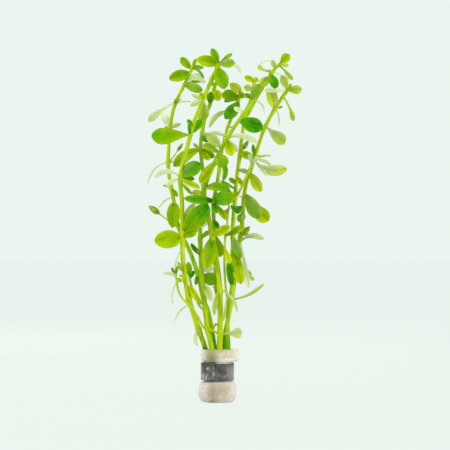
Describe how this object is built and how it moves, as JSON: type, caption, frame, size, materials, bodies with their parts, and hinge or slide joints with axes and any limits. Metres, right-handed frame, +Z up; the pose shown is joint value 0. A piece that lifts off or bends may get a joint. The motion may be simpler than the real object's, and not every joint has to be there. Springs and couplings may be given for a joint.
{
  "type": "water hyssop bunch in a weighted foam plug",
  "caption": "Upright bunch of leafy water hyssop stems, their cut ends rolled in a foam plug with a soft metal weight band round its waist.",
  "frame": {"origin": "centre of the plug's flat underside", "axes": "+Z up along the bunch, -Y towards the side that the picture shows, +X to that side's right"},
  "size_m": [0.0973, 0.0571, 0.2201],
  "materials": {
    "foam": "off-white open foam, damp and faintly green at its top rim",
    "weight_metal": "soft dark grey metal strip, dull and scuffed",
    "leaf": "fresh bright green, smooth and slightly waxy"
  },
  "bodies": {
    "root": {"foam_plug": "foam", "weight_band": "weight_metal", "leafy_stem_front_left": "leaf", "leafy_stem_back_left": "leaf", "leafy_stem_centre_left": "leaf", "leafy_stem_centre": "leaf", "leafy_stem_centre_back": "leaf", "leafy_stem_right_front": "leaf", "leafy_stem_right": "leaf"}
  },
  "joints": []
}
